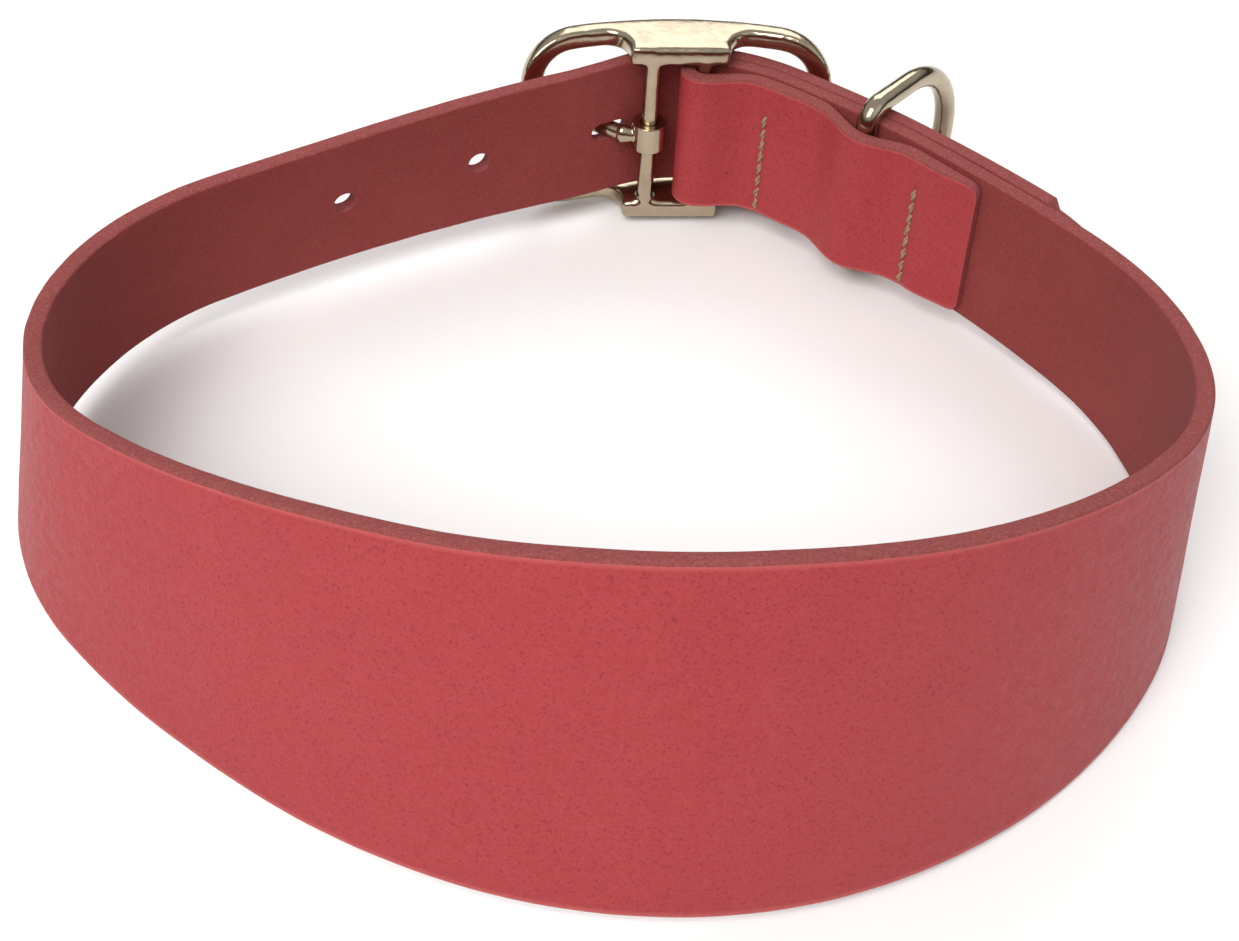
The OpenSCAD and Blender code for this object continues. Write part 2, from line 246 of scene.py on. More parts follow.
    def inner_gap(self, s: float) -> float:
        """Returns the gap between the strip and the leather turned back inside it."""
        fold = (2 * self.bar_seat - self.layer_gap) * (1 - ease((s - self.chape_s) / (self.row_1_at - 2)))
        dee = 2 * (self.dee_wire / 2 - self.dee_bed) - self.layer_gap
        return self.layer_gap + fold + dee * hump((s - self.dee_s) / (self.row_2_past_dee - 1.5))

    def lift(self, s: float) -> float:
        """Returns the height of the free end above the loop's outer face."""
        start = self.girth - self.lift_lead
        climb = ease((s - start) / (self.girth + self.chape_s - start))
        spring = min(1.0, max(0.0, (s - self.tip_s + self.tip_length) / self.tip_length))
        return (self.leather + self.layer_gap) * climb + self.tip_spring * spring**2

    def wall(self, s: float, offset: float = 0.0) -> Matrix:
        """Places something on the wall.

        Args:
            s: Distance along the strap, clockwise from the tongue bar.
            offset: Distance outward from the strap's outer face.

        Returns:
            A matrix whose x runs along the strap, y outward and z up the wall.
        """
        x, y, heading = self.place(s)
        return (
            Matrix.Translation((0, 0, self.stand_height))
            @ Matrix.Rotation(math.radians(self.tilt), 4, "X")
            @ Matrix.Translation((x, y, self.height(s)))
            @ Matrix.Rotation(math.radians(heading), 4, "Z")
            @ Matrix.Rotation(math.radians(self.lean(s)), 4, "X")
            @ Matrix.Translation((0, offset, 0))
        )


# ---- mesh helpers ----
def make_object(name: str, bm: bmesh.types.BMesh, materials: Sequence[bpy.types.Material]) -> bpy.types.Object:
    """Turns a mesh in millimetres into an object.

    Args:
        name: The piece's name.
        bm: The mesh, which is freed.
        materials: Its materials in slot order.

    Returns:
        The new object, in metres.
    """
    bmesh.ops.scale(bm, vec=(MM, MM, MM), verts=bm.verts)
    mesh = bpy.data.meshes.new(name)
    bm.to_mesh(mesh)
    bm.free()
    for material in materials:
        mesh.materials.append(material)
    for polygon in mesh.polygons:
        polygon.use_smooth = True
    made = bpy.data.objects.new(name, mesh)
    bpy.context.scene.collection.objects.link(made)
    return made


def apply_modifiers(obj: bpy.types.Object) -> None:
    """Replaces the object's mesh by the one its modifiers make."""
    graph = bpy.context.evaluated_depsgraph_get()
    mesh = bpy.data.meshes.new_from_object(obj.evaluated_get(graph), depsgraph=graph)
    obj.modifiers.clear()
    obj.data = mesh


def tube(
    bm: bmesh.types.BMesh, path: Sequence[Vector], radius: Callable[[float], float], sides: int, closed: bool
) -> None:
    """Adds a round tube along a path.

    Args:
        bm: The mesh to add to.
        path: Points along its middle.
        radius: Radius at a share of the path from 0 to 1.
        sides: Points round the tube.
        closed: Whether the path's end joins its start.
    """
    count = len(path)
    rings: List[List[bmesh.types.BMVert]] = []
    last = path[-1] if closed else path[0]
    across = None
    for i, point in enumerate(path):
        after = path[(i + 1) % count] if closed or i + 1 < count else point
        along = (after - last).normalized()
        last = point
        if across is None:
            across = along.orthogonal().normalized()
        across = (across - along * across.dot(along)).normalized()
        other = along.cross(across)
        r = radius(i / max(1, count - 1))
        rings.append(
            [
                bm.verts.new(point + r * (math.cos(a) * across + math.sin(a) * other))
                for a in (2 * math.pi * k / sides for k in range(sides))
            ]
        )
    for i in range(count if closed else count - 1):
        one, two = rings[i], rings[(i + 1) % count]
        for k in range(sides):
            j = (k + 1) % sides
            bm.faces.new((one[k], one[j], two[j], two[k]))
    if not closed:
        bm.faces.new(list(reversed(rings[0])))
        bm.faces.new(rings[-1])


# ---- materials ----
@dataclass
class Recipe:
    """Node tree of one material, with short calls for the nodes a finish needs."""

    name: str

    def __post_init__(self) -> None:
        """Starts the material with its shader and a coordinate in millimetres."""
        self.material = bpy.data.materials.new(self.name)
        self.material.use_nodes = True
        self.tree = self.material.node_tree
        self.shader = self.tree.nodes["Principled BSDF"]
        coordinate = self.tree.nodes.new("ShaderNodeTexCoord")
        scale = self.tree.nodes.new("ShaderNodeMapping")
        scale.inputs["Scale"].default_value = (1000, 1000, 1000)
        self.link(coordinate.outputs["Object"], scale.inputs["Vector"])
        self.spot = scale.outputs["Vector"]

    def link(self, out: bpy.types.NodeSocket, into: bpy.types.NodeSocket) -> None:
        """Joins two sockets."""
        self.tree.links.new(out, into)

    def clouds(self, scale: float, detail: float = 4, rough: float = 0.55) -> bpy.types.NodeSocket:
        """Returns cloudy noise with its scale in waves per millimetre."""
        node = self.tree.nodes.new("ShaderNodeTexNoise")
        node.inputs["Scale"].default_value = scale
        node.inputs["Detail"].default_value = detail
        node.inputs["Roughness"].default_value = rough
        self.link(self.spot, node.inputs["Vector"])
        return node.outputs["Fac"]

    def cells(self, scale: float, feature: str = "F1") -> bpy.types.NodeSocket:
        """Returns the distance in a cell pattern with its scale in cells per millimetre."""
        node = self.tree.nodes.new("ShaderNodeTexVoronoi")
        node.feature = feature
        node.inputs["Scale"].default_value = scale
        self.link(self.spot, node.inputs["Vector"])
        return node.outputs["Distance"]

    def span(
        self, value: bpy.types.NodeSocket, low: float, high: float, to_low: float, to_high: float
    ) -> bpy.types.NodeSocket:
        """Maps a value from one span to another.

        Args:
            value: The value to map.
            low: Where the first span begins.
            high: Where it ends.
            to_low: Value given at low.
            to_high: Value given at high.

        Returns:
            The mapped and clamped value.
        """
        node = self.tree.nodes.new("ShaderNodeMapRange")
        for key, number in (("From Min", low), ("From Max", high), ("To Min", to_low), ("To Max", to_high)):
            node.inputs[key].default_value = number
        self.link(value, node.inputs["Value"])
        return node.outputs["Result"]

    def layer(self, base: object, color: Color, amount: bpy.types.NodeSocket) -> bpy.types.NodeSocket:
        """Lays a colour over a base.

        Args:
            base: A colour or a colour socket.
            color: The colour laid over it.
            amount: How much of it shows.

        Returns:
            The mixed colour.
        """
        node = self.tree.nodes.new("ShaderNodeMix")
        node.data_type = "RGBA"
        if isinstance(base, tuple):
            node.inputs[6].default_value = (*base, 1)
        else:
            self.link(base, node.inputs[6])
        node.inputs[7].default_value = (*color, 1)
        self.link(amount, node.inputs[0])
        return node.outputs[2]

    def painted(self, name: str) -> bpy.types.NodeSocket:
        """Returns a number stored on the mesh's points."""
        node = self.tree.nodes.new("ShaderNodeAttribute")
        node.attribute_name = name
        return node.outputs["Fac"]

    def bump(self, heights: Sequence[Tuple[bpy.types.NodeSocket, float]]) -> None:
        """Stacks height patterns, each with its depth in millimetres, on the shader's normal."""
        normal = None
        for value, depth in heights:
            node = self.tree.nodes.new("ShaderNodeBump")
            node.inputs["Strength"].default_value = 1.0
            node.inputs["Distance"].default_value = depth * MM
            self.link(value, node.inputs["Height"])
            if normal is not None:
                self.link(normal, node.inputs["Normal"])
            normal = node.outputs["Normal"]
        self.link(normal, self.shader.inputs["Normal"])


@dataclass(frozen=True)
class GrainFinish:
    """Smooth matte grain side with fine pores, a lighter line beside its cut edges and painted shade round the slot
    that the tongue goes through.
    """

    color: Color = (0.375, 0.038, 0.044)
    faded: Color = (0.43, 0.060, 0.067)
    pore: Color = (0.15, 0.009, 0.012)
    rim: Color = (0.56, 0.13, 0.12)
    roughness: Tuple[float, float] = (0.44, 0.60)

    def make(self) -> bpy.types.Material:
        """Returns the grain material."""
        r = Recipe("leather_grain")
        mottled = r.layer(self.color, self.faded, r.span(r.clouds(0.09, 5), 0.42, 0.75, 0.0, 0.22))
        fine = r.layer(mottled, self.faded, r.span(r.clouds(1.3, 3), 0.5, 0.8, 0.0, 0.45))
        speck = r.span(r.clouds(2.2, 4, 0.75), 0.33, 0.47, 0.7, 0.0)
        pored = r.layer(fine, self.pore, speck)
        rimmed = r.layer(pored, self.rim, r.span(r.painted("near_edge"), 0.35, 1.0, 0.0, 0.6))
        # painted shade: the dark pore colour laid round the slot that the tongue goes through, beside the buckle
        shaded = r.layer(rimmed, self.pore, r.span(r.painted("wear_and_slot_shade"), 0.0, 1.0, 0.0, 0.65))
        r.link(shaded, r.shader.inputs["Base Color"])
        r.link(r.span(r.clouds(0.7, 4), 0.3, 0.7, *self.roughness), r.shader.inputs["Roughness"])
        r.shader.inputs["Specular IOR Level"].default_value = 0.26
        r.bump(
            (
                (r.cells(1.9, "SMOOTH_F1"), 0.05),
                (r.clouds(4.0, 3), 0.035),
                (r.clouds(0.35, 3), 0.12),
            )
        )
        return r.material


@dataclass(frozen=True)
class FleshFinish:
    """Brushed flesh side, browner than the grain, with short loose fibres."""

    color: Color = (0.26, 0.036, 0.032)
    light: Color = (0.32, 0.058, 0.050)
    dark: Color = (0.16, 0.018, 0.018)

    def make(self) -> bpy.types.Material:
        """Returns the flesh side material."""
        r = Recipe("leather_flesh")
        fibres = r.layer(self.color, self.light, r.span(r.clouds(1.6, 6, 0.7), 0.45, 0.72, 0.0, 0.8))
        deep = r.layer(fibres, self.dark, r.span(r.clouds(2.8, 4, 0.7), 0.28, 0.5, 0.7, 0.0))
        patchy = r.layer(deep, self.light, r.span(r.clouds(0.08, 4), 0.5, 0.8, 0.0, 0.4))
        r.link(patchy, r.shader.inputs["Base Color"])
        r.shader.inputs["Roughness"].default_value = 0.92
        r.shader.inputs["Specular IOR Level"].default_value = 0.15
        r.shader.inputs["Sheen Weight"].default_value = 0.08
        r.shader.inputs["Sheen Roughness"].default_value = 0.6
        r.bump(((r.clouds(1.2, 6, 0.75), 0.30), (r.clouds(5.0, 3), 0.08)))
        return r.material


@dataclass(frozen=True)
class EdgeFinish:
    """Raw cut edge of the leather, dull and fibrous."""

    color: Color = (0.30, 0.070, 0.068)
    light: Color = (0.42, 0.14, 0.12)
    dark: Color = (0.15, 0.025, 0.027)

    def make(self) -> bpy.types.Material:
        """Returns the cut edge material."""
        r = Recipe("leather_edge")
        streaked = r.layer(self.color, self.light, r.span(r.clouds(1.9, 5, 0.7), 0.48, 0.74, 0.0, 0.8))
        deep = r.layer(streaked, self.dark, r.span(r.clouds(3.1, 4, 0.7), 0.3, 0.5, 0.7, 0.0))
        r.link(deep, r.shader.inputs["Base Color"])
        r.shader.inputs["Roughness"].default_value = 0.9
        r.shader.inputs["Specular IOR Level"].default_value = 0.25
        r.bump(((r.clouds(1.7, 6, 0.75), 0.28), (r.clouds(5.5, 3), 0.08)))
        return r.material


@dataclass(frozen=True)
class PlatedFinish:
    """Warm nickel plate over a casting or wire, slightly dulled."""

    name: str
    color: Color = (0.46, 0.385, 0.275)
    dull: Color = (0.35, 0.285, 0.20)
    roughness: Tuple[float, float] = (0.14, 0.26)
    pitting: float = 0.008

    def make(self) -> bpy.types.Material:
        """Returns the plated metal material."""
        r = Recipe(self.name)
        hazed = r.layer(self.color, self.dull, r.span(r.clouds(0.22, 5), 0.42, 0.75, 0.0, 0.7))
        r.link(hazed, r.shader.inputs["Base Color"])
        r.shader.inputs["Metallic"].default_value = 1.0
        r.link(r.span(r.clouds(0.5, 5), 0.35, 0.7, *self.roughness), r.shader.inputs["Roughness"])
        r.bump(((r.clouds(0.4, 2), 0.06), (r.clouds(2.5, 3), self.pitting)))
        return r.material


@dataclass(frozen=True)
class ThreadFinish:
    """Waxed sewing thread."""

    color: Color = (0.36, 0.27, 0.14)
    dark: Color = (0.17, 0.115, 0.05)

    def make(self) -> bpy.types.Material:
        """Returns the thread material."""
        r = Recipe("thread")
        wear_and_slot_shade = r.layer(self.color, self.dark, r.span(r.clouds(2.5, 4), 0.35, 0.6, 0.7, 0.0))
        r.link(wear_and_slot_shade, r.shader.inputs["Base Color"])
        r.shader.inputs["Roughness"].default_value = 0.7
        r.bump(((r.clouds(8.0, 3), 0.05),))
        return r.material


# ---- sub-assemblies ----
@dataclass
class Strap:
    """The leather strip: folded round the chape bar at one end, pointed at the other."""

    loop: Loop
    columns: int = 44
    edge_round: float = 0.45
    coarse: float = 1.7
    fine: float = 0.42
    hole: float = 4.0
    hole_pitch: float = 24.6
    hole_back: float = 7.2
    drawn_hole: float = 6.8
    drawn_width: float = 3.5
    skive_length: float = 9.0
    skived: float = 0.5
    row_foot: float = -12.4
    row_head: float = 6.8
    stitch: float = 2.4
    punch_past: float = 1.5
    punch_sides: int = 48

    def hole_stations(self) -> List[Tuple[float, float]]:
        """Returns each punched hole's place along the strap and its length."""
        middle = self.loop.girth - self.hole_back
        return [(middle + k * self.hole_pitch, self.drawn_hole if k == 0 else self.hole) for k in (-2, -1, 0, 1, 2)]

    def section(self, half: float) -> List[Tuple[float, float, Face]]:
        """Outline of the strip across its width.

        Args:
            half: Half the strip's width.

        Returns:
            Height up the wall, depth below the grain and the face of the quad that starts there.
        """
        r = min(self.edge_round, half * 0.6)
        t = self.loop.leather
        turns = [math.radians(a) for a in (30, 60, 90)]
        rise, fall = turns, list(reversed(turns))
        points = [((half - r) * (1 - 2 * i / self.columns), 0.0, Face.GRAIN) for i in range(self.columns + 1)]
        points += [(-half + r * (1 - math.sin(a)), r * (1 - math.cos(a)), Face.EDGE) for a in rise]
        points.append((-half, t / 2, Face.EDGE))
        points += [(-half + r * (1 - math.sin(a)), t - r * (1 - math.cos(a)), Face.EDGE) for a in fall]
        points += [(-(half - r) * (1 - 2 * i / self.columns), t, Face.FLESH) for i in range(self.columns + 1)]
        points += [(half - r * (1 - math.sin(a)), t - r * (1 - math.cos(a)), Face.EDGE) for a in rise]
        points.append((half, t / 2, Face.EDGE))
        points += [(half - r * (1 - math.sin(a)), r * (1 - math.cos(a)), Face.EDGE) for a in fall]
        return points

    def spacing(self, s: float, marks: Sequence[Tuple[float, float]]) -> float:
        """Returns the step to take along the strap at s, fine beside what is marked."""
        near = min(max(0.0, abs(s - place) - reach) for place, reach in marks)
        return self.fine + (self.coarse - self.fine) * ease(near / 6)

    def stations(self, start: float, end: float, marks: Sequence[Tuple[float, float]]) -> List[float]:
        """Returns places along the strap from start to end, closer together beside what is marked."""
        out, s = [start], start
        while True:
            s += self.spacing(s, marks)
            if s >= end - self.fine:
                break
            out.append(s)
        return out + [end]

    def stitch_dent(self, s: float, v: float) -> float:
        """Returns how deep the thread pulls the grain in at a point of the strap."""
        deep = 0.0
        for station in self.loop.row_stations:
            d = abs(s - station)
            if d > 4:
                continue
            ends = ease((self.row_head + 1.2 - v) / 1.2) * ease((v - self.row_foot + 1.2) / 1.2)
            step = ((v - self.row_foot) / self.stitch) % 1.0
            pull = math.cos(math.pi * step) ** 2
            deep += ends * bell(d, 1.1) * (0.22 + 0.20 * pull)
        return deep

    def hole_dent(self, s: float, v: float) -> float:
        """Returns how far the leather sinks round the punched holes."""
        deep = 0.0
        for station, length in self.hole_stations():
            d = math.hypot(max(0.0, abs(s - station) - (length - self.hole) / 2), v)
            deep += 0.34 * bell(max(0.0, d - 1.6), 1.3) * (1.6 if length > self.hole else 1.0)
        return deep

    def wave(self, s: float, v: float, half: float) -> Tuple[float, float]:
        """Slow unevenness of hand-cut leather.

        Args:
            s: Place along the strap.
            v: Height up the wall.
            half: Half the strip's width there.

        Returns:
            Shift up the wall and shift outward.
        """
        edge = abs(v) / half
        up = 0.22 * edge * noise.noise(Vector((s * 0.045, 3.0 if v > 0 else 7.0, 0.3)))
        out = 0.16 * noise.noise(Vector((s * 0.035, v * 0.05, 1.7)))
        out += 0.05 * noise.noise(Vector((s * 0.22, v * 0.2, 4.1)))
        return up, out

    def rings(self) -> List[Tuple[float, Callable[[float, float], Vector], float, bool]]:
        """Lists the strip's rings from the turned-back end to the point.

        Returns:
            Place along the strap, a function from height and depth to a point, half width, and
            whether the ring belongs to the turned-back leather.
        """
        lp = self.loop
        rows = [(s, 2.2) for s in lp.row_stations]
        holes = [(s, length / 2 + 2.2) for s, length in self.hole_stations()]
        out = []
        end = lp.chape_s + lp.return_length

        def back(s: float) -> Callable[[float, float], Vector]:
            wall, flesh = lp.wall(s), -lp.leather - lp.inner_gap(s)
            thin = 1 - (1 - self.skived) * ease(1 - (end - s) / self.skive_length)
            return lambda v, depth: wall @ Vector((0, flesh - thin * (lp.leather - depth), v))

        def back_half(s: float) -> float:
            near = max(0.0, 2.0 - (end - s))
            return lp.end_width / 2 - 2.0 + math.sqrt(max(0.0, 4.0 - near**2)) * 0.85 + 0.3

        def fold(angle: float) -> Callable[[float, float], Vector]:
            wall, a = lp.wall(lp.chape_s), math.radians(angle)
            middle, grain = -lp.leather - lp.bar_seat, lp.bar_seat + lp.leather
            x, y = math.cos(a), math.sin(a)
            return lambda v, depth: wall @ Vector(((grain - depth) * x, middle + (grain - depth) * y, v))

        def strip(s: float) -> Callable[[float, float], Vector]:
            wall, top = lp.wall(s), lp.lift(s)
            return lambda v, depth: wall @ Vector((0, top - depth, v))

        for s in reversed(self.stations(lp.chape_s + 0.4, end, rows + [(end, 2.0)])):
            out.append((s, back(s), back_half(s), True))
        for i in range(25):
            out.append((lp.chape_s, fold(270 - 7.5 * i), lp.end_width / 2, True))
        body = self.stations(lp.chape_s + 0.4, lp.tip_s - lp.tip_length, rows + holes)
        out += [(s, strip(s), lp.half_width(s), False) for s in body]
        for i in range(1, 31):
            s = lp.tip_s - lp.tip_length * (1 - math.sin(math.radians(3 * i)))
            out.append((s, strip(s), lp.half_width(s), False))
        return out

    def strip_mesh(self) -> Tuple[bmesh.types.BMesh, List[Tuple[float, float]]]:
        """Builds the strip without its holes.

        Returns:
            The mesh, and each point's nearness to a cut edge and its share of the painted shade round the tongue's
            slot.
        """
        bm = bmesh.new()
        lp = self.loop
        painted: List[Tuple[float, float]] = []
        grid: List[List[bmesh.types.BMVert]] = []
        kinds: List[Face] = []
        for s, at, half, turned in self.rings():
            outline = self.section(half)
            kinds = [face for _, _, face in outline]
            row = []
            for v, depth, _ in outline:
                up, out = self.wave(s + (300 if turned else 0), v, half)
                share = 1 - depth / lp.leather
                sunk = share * self.stitch_dent(s, v) if s < lp.girth / 2 else 0.0
                wear_and_slot_shade = 0.0
                if not turned and s > lp.girth - 80:
                    sunk += share * self.hole_dent(s, v)
                    # painted shade: a darkening laid round the slot that the tongue goes through, beside the buckle
                    slot_edge = math.hypot(max(0.0, abs(s - (lp.girth - self.hole_back)) - 2.2), v)
                    wear_and_slot_shade = bell(max(0.0, slot_edge - 2.0), 1.0)
                calm = 0.25 if turned or s < 70 or s > lp.girth - 10 else 1.0
                row.append(bm.verts.new(at(v + up, depth + sunk - calm * out)))
                edge = bell(max(0.0, half - abs(v) - 0.35), 0.45)
                painted.append((edge, wear_and_slot_shade))
            grid.append(row)
        width = len(grid[0])
        for one, two in zip(grid, grid[1:]):
            for k in range(width):
                j = (k + 1) % width
                quad = bm.faces.new((one[k], one[j], two[j], two[k]))
                quad.material_index = kinds[k].value
        for ring, flip in ((grid[0], False), (grid[-1], True)):
            self.cap(bm, ring, flip)
        bmesh.ops.recalc_face_normals(bm, faces=bm.faces)
        return bm, painted

    def cap(self, bm: bmesh.types.BMesh, ring: List[bmesh.types.BMVert], flip: bool) -> None:
        """Closes one end of the strip with a band of quads between grain and flesh."""
        n = self.columns
        flesh = n + 1 + 3 + 1 + 3
        pairs = [(ring[i], ring[flesh + n - i]) for i in range(n + 1)]
        for (a, b), (c, d) in zip(pairs, pairs[1:]):
            quad = bm.faces.new((a, c, d, b) if flip else (b, d, c, a))
            quad.material_index = Face.EDGE.value
        low = ring[n : flesh + 1]
        high = ring[flesh + n :] + [ring[0]]
        for side in (low, high):
            shape = bm.faces.new(side if flip else list(reversed(side)))
            shape.material_index = Face.EDGE.value

    def punches(self) -> bpy.types.Object:
        """Returns the cutters of all five holes as one object."""
        lp = self.loop
        bm = bmesh.new()
        for s, length in self.hole_stations():
            own = s > lp.girth  # such a hole stops short of the strip that lies under the free end
            below = lp.layer_gap / 2 if own else self.punch_past
            wall = lp.wall(s, lp.lift(s) - lp.leather - below)
            tall = lp.leather + below + self.punch_past
            radius = self.hole / 2 if length <= self.hole else self.drawn_width / 2
            straight = length / 2 - radius
            outline = []
            for k in range(self.punch_sides):
                a = 2 * math.pi * (k + 0.5) / self.punch_sides
                x = radius * math.cos(a) + math.copysign(straight, math.cos(a))
                outline.append((x, radius * math.sin(a)))
            low = [bm.verts.new(wall @ Vector((x, 0, z))) for x, z in outline]
            high = [bm.verts.new(wall @ Vector((x, tall, z))) for x, z in outline]
            for k in range(self.punch_sides):
                j = (k + 1) % self.punch_sides
                bm.faces.new((low[k], low[j], high[j], high[k]))
            bm.faces.new(low)
            bm.faces.new(high)
        bmesh.ops.recalc_face_normals(bm, faces=bm.faces)
        for quad in bm.faces:
            quad.material_index = Face.EDGE.value
        return make_object("punches", bm, LEATHERS)

    def build(self) -> bpy.types.Object:
        """Returns the finished strap."""
        bm, painted = self.strip_mesh()
        made = make_object("leather_strap", bm, LEATHERS)
        # the second stored number is the painted shade round the tongue's slot
        for name, column in (("near_edge", 0), ("wear_and_slot_shade", 1)):
            layer = made.data.attributes.new(name, "FLOAT", "POINT")
            layer.data.foreach_set("value", [p[column] for p in painted])
        cutter = self.punches()
        cut = made.modifiers.new("punch", "BOOLEAN")
        cut.operation, cut.solver, cut.object = "DIFFERENCE", "EXACT", cutter
        apply_modifiers(made)
        bpy.data.objects.remove(cutter)
        made.data.set_sharp_from_angle(angle=math.radians(50))
        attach(made, Body.STRAP.value)
        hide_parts("strap")
        return made


@dataclass
class Seams:
    """Both lockstitched rows, each with a needle thread inside and a bobbin thread outside."""

    loop: Loop
    stitches: int = 8
    stitch: float = 2.4
    foot: float = -12.4
    strand: float = 0.26
    twists: float = 1.4
    crown: float = 1.25
    dip: float = 1.15

    def thread_path(self, s: float, face: float, lock: float, outward: float) -> List[Tuple[Vector, Vector, Vector]]:
        """Middle line of one thread.

        Args:
            s: The row's place along the strap.
            face: Offset of the leather's surface.
            lock: Offset at which the two threads lock.
            outward: Direction away from the leather, 1 or -1.

        Returns:
            Points with two directions across the thread, in the wall's own axes.
        """
        points: List[Vector] = []
        steps = 14
        for k in range(self.stitches):
            low = self.foot + k * self.stitch
            slant = 0.3 + 0.3 * noise.noise(Vector((s, k * 3.7, 2.0)))
            for i in range(steps):
                u = i / steps
                rise = self.crown * math.sin(math.pi * u) ** 0.5 - self.dip
                points.append(Vector((slant * (u - 0.5), face + outward * rise, low + u * self.stitch)))
        points.append(Vector((0, face - outward * self.dip, self.foot + self.stitches * self.stitch)))
        start = Vector((0, face - outward * abs(lock - face), self.foot))
        end = Vector((0, start.y, self.foot + self.stitches * self.stitch))
        points = [start] + points + [end]
        out = []
        for i, p in enumerate(points):
            along = (points[min(i + 1, len(points) - 1)] - points[max(i - 1, 0)]).normalized()
            across = Vector((1, 0, 0)) - along * along.x
            across.normalize()
            out.append((p, across, along.cross(across)))
        return out

    def thread(self, name: str, s: float, inside: bool) -> bpy.types.Object:
        """Builds one thread of two strands twisted together.

        Args:
            name: The CAD node that it stands for.
            s: The row's place along the strap.
            inside: Whether it is the needle thread, on the inner face.

        Returns:
            The new object.
        """
        lp = self.loop
        gap = lp.inner_gap(s)
        middle = -lp.leather - gap / 2
        face = -2 * lp.leather - gap + 0.25 if inside else -0.34
        outward = -1.0 if inside else 1.0
        wall = lp.wall(s)
        bm = bmesh.new()
        centre = self.thread_path(s, face, middle, outward)
        for phase in (0.0, math.pi):
            path, run = [], 0.0
            for i, (p, a, b) in enumerate(centre):
                if i:
                    run += (p - centre[i - 1][0]).length
                turn = phase + 2 * math.pi * self.twists * run / self.stitch / 1.6
                path.append(wall @ (p + 0.2 * (math.cos(turn) * a + math.sin(turn) * b)))
            tube(bm, path, lambda u: self.strand, 8, False)
        bmesh.ops.recalc_face_normals(bm, faces=bm.faces)
        made = make_object(name + "_stitches", bm, [THREAD])
        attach(made, Body.STRAP.value)
        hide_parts(name)
        return made

    def build(self) -> List[bpy.types.Object]:
        """Returns all four threads."""
        first, second = self.loop.row_stations
        rows = (("first_row", first), ("second_row", second))
        kinds = (("needle", True), ("bobbin", False))
        return [self.thread(f"{row}_{kind}_thread", s, inside) for row, s in rows for kind, inside in kinds]


@dataclass
class Casting:
    """A cast metal piece: its CAD shape with its edges rounded as a casting's are."""

    loop: Loop
    node: str
    body: Body
    grain: float = 0.25
    rounds: int = 110
    guard: Callable[[Vector], float] = field(default=lambda p: 1.0)
    shape: Callable[[Vector], Vector] = field(default=lambda p: p)

    def build(self) -> bpy.types.Object:
        """Returns the rounded casting."""
        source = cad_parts[self.node]
        mesh = source.data.copy()
        mesh.materials.clear()
        made = bpy.data.objects.new(self.node + "_casting", mesh)
        bpy.context.scene.collection.objects.link(made)
        blocks = made.modifiers.new("blocks", "REMESH")
        blocks.mode, blocks.voxel_size = "VOXEL", self.grain * MM
        apply_modifiers(made)
        place = self.loop.wall(self.loop.chape_s / 2, -self.loop.buckle_drop)
        inverse = place.inverted()
        for vertex in made.data.vertices:
            vertex.co = MM * (place @ self.shape(inverse @ (vertex.co / MM)))
        group = made.vertex_groups.new(name="soft")
        for vertex in made.data.vertices:
            group.add([vertex.index], self.guard(inverse @ (vertex.co / MM)), "REPLACE")
        soften = made.modifiers.new("soften", "SMOOTH")
        soften.factor, soften.iterations, soften.vertex_group = 0.5, self.rounds, "soft"
        apply_modifiers(made)
        made.data.materials.clear()
        made.data.materials.append(BUCKLE_METAL)
        for polygon in made.data.polygons:
            polygon.use_smooth = True
        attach(made, self.body.value)
        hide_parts(self.node)
        return made


def frame_guard(p: Vector) -> float:
    """Returns how much a point of the buckle frame may be softened: little on its round bars."""
    bar = min(math.hypot(p.x - 4.5, p.y), math.hypot(p.x + 4.5, p.y))
    if abs(p.z) < 13.6 and bar < 2.2:
        return 0.12
    return 1.0


def tongue_guard(p: Vector) -> float:
    """Returns how much a point of the tongue may be softened: little round its bore."""
    return 0.3 if math.hypot(p.x + 4.5, p.y) < 2.2 else 1.0


def tongue_shape(p: Vector) -> Vector:
    """Broadens the prong across the strap where it passes through, and leaves the eye and the tip."""
    away = -4.5 - p.x
    broad = 1 + 0.24 * ease((away - 2.6) / 1.6) * (1 - ease((away - 9.0) / 8.0))
    return Vector((p.x, p.y, -0.3 + (p.z + 0.3) * broad))


@dataclass
class DeeRing:
    """The dee of bent wire, its bar between the layers of leather."""

    loop: Loop
    room: float = 1.2
    reach: float = 27.5
    swing: float = 2.0
    sides: int = 32

    def path(self) -> List[Vector]:
        """Returns the wire's middle line in the dee's own axes."""
        wire = self.loop.dee_wire / 2
        half = self.loop.end_width / 2 + self.room + wire
        corner = self.room + wire
        leg = self.reach - half
        points = [Vector((0, 0, (half - corner) * (i / 8 - 1))) for i in range(17)]
        for i in range(1, 13):
            a = math.radians(90 * i / 12)
            points.append(Vector((0, corner * (1 - math.cos(a)), half - corner + corner * math.sin(a))))
        points.append(Vector((0, (corner + leg) / 2, half)))
        for i in range(49):
            a = math.radians(180 * i / 48)
            points.append(Vector((0, leg + half * math.sin(a), half * math.cos(a))))
        points.append(Vector((0, (corner + leg) / 2, -half)))
        for i in range(12):
            a = math.radians(90 * (1 - i / 12))
            points.append(Vector((0, corner * (1 - math.cos(a)), -half + corner - corner * math.sin(a))))
        return points

    def build(self) -> bpy.types.Object:
        """Returns the dee ring."""
        turn = Matrix.Rotation(math.radians(-self.swing), 4, "Z")
        place = self.loop.wall(self.loop.dee_s, self.loop.dee_offset) @ turn
        bm = bmesh.new()
        wire = self.loop.dee_wire / 2
        tube(bm, [place @ p for p in self.path()], lambda u: wire, self.sides, True)
        bmesh.ops.recalc_face_normals(bm, faces=bm.faces)
        made = make_object("dee_wire", bm, [RING_METAL])
        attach(made, Body.DEE.value)
        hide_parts("dee_ring")
        return made


